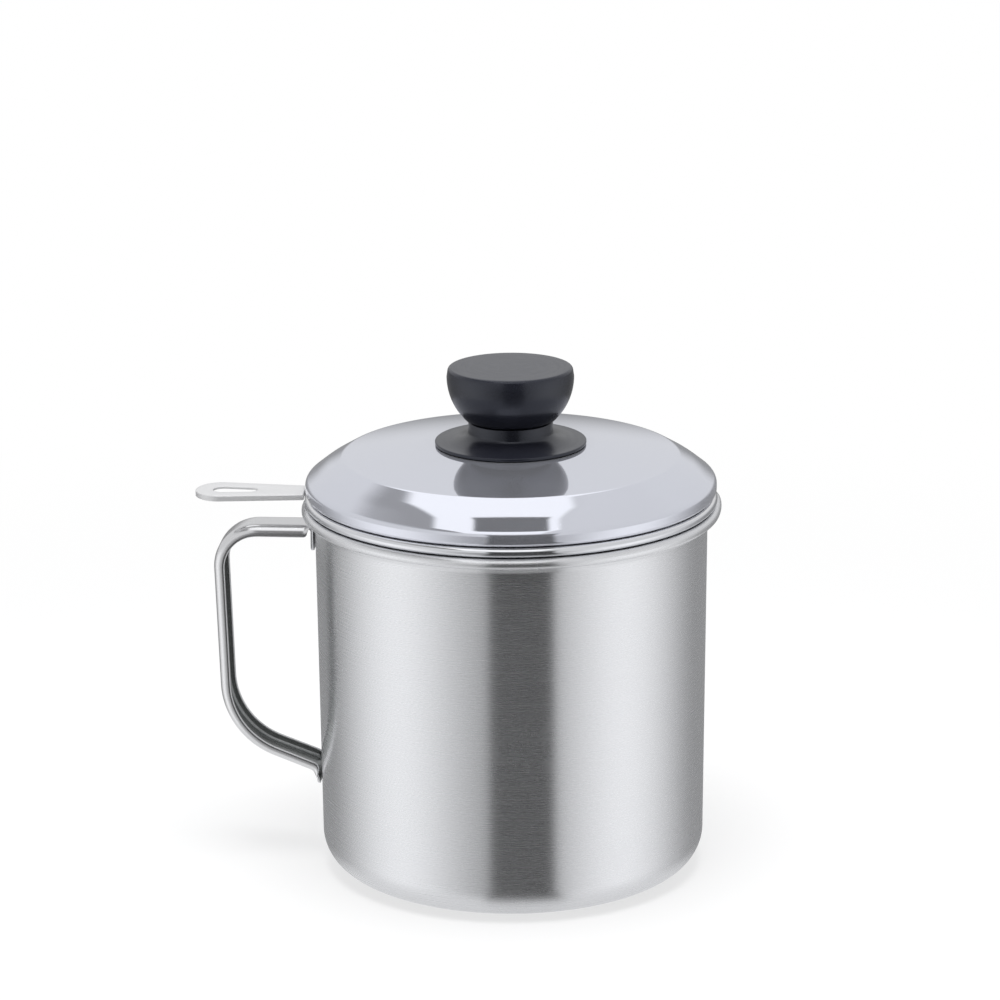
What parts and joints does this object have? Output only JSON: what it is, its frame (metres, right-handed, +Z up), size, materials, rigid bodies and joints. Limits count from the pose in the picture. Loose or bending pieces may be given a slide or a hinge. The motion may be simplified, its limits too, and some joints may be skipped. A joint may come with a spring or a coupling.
{
  "type": "grease container",
  "caption": "Steel kitchen grease container: a mug-handled pot with a rolled rim, a drop-in strainer with a slotted tab, and a domed lid with a black knob.",
  "frame": {"origin": "on the pot's axis, on the flat face that it stands on", "axes": "+Z up along the pot's axis, -X towards the mug handle and the strainer's tab, +X towards the pouring lip"},
  "size_m": [0.165, 0.131, 0.161],
  "materials": {
    "pot_body": "satin, turned lines inside",
    "pot_handle": "polished",
    "strainer_bowl": "mirror polished steel",
    "strainer_screen": "polished steel, perforated",
    "strainer_handle": "polished",
    "lid_dome": "mirror polished steel",
    "lid_skirt": "polished steel",
    "knob_collar": "black bakelite, satin",
    "knob_bowl": "black bakelite, satin",
    "knob_insert": "turned",
    "screw_washer": "plain",
    "knob_screw": "plain"
  },
  "bodies": {
    "pot": {"pot_body": "pot_body", "pot_handle": "pot_handle"},
    "strainer": {"strainer_bowl": "strainer_bowl", "strainer_screen": "strainer_screen", "strainer_handle": "strainer_handle"},
    "lid": {"lid_dome": "lid_dome", "lid_skirt": "lid_skirt", "knob_collar": "knob_collar", "knob_bowl": "knob_bowl", "knob_insert": "knob_insert", "screw_washer": "screw_washer", "knob_screw": "knob_screw"}
  },
  "joints": [
    {"name": "strainer_lift", "type": "slide", "parent": "pot", "child": "strainer", "axis": [0, 0, 1], "range_m": [0, 0.052]},
    {"name": "lid_lift", "type": "slide", "parent": "strainer", "child": "lid", "axis": [0, 0, 1], "range_m": [0, 0.042]}
  ]
}
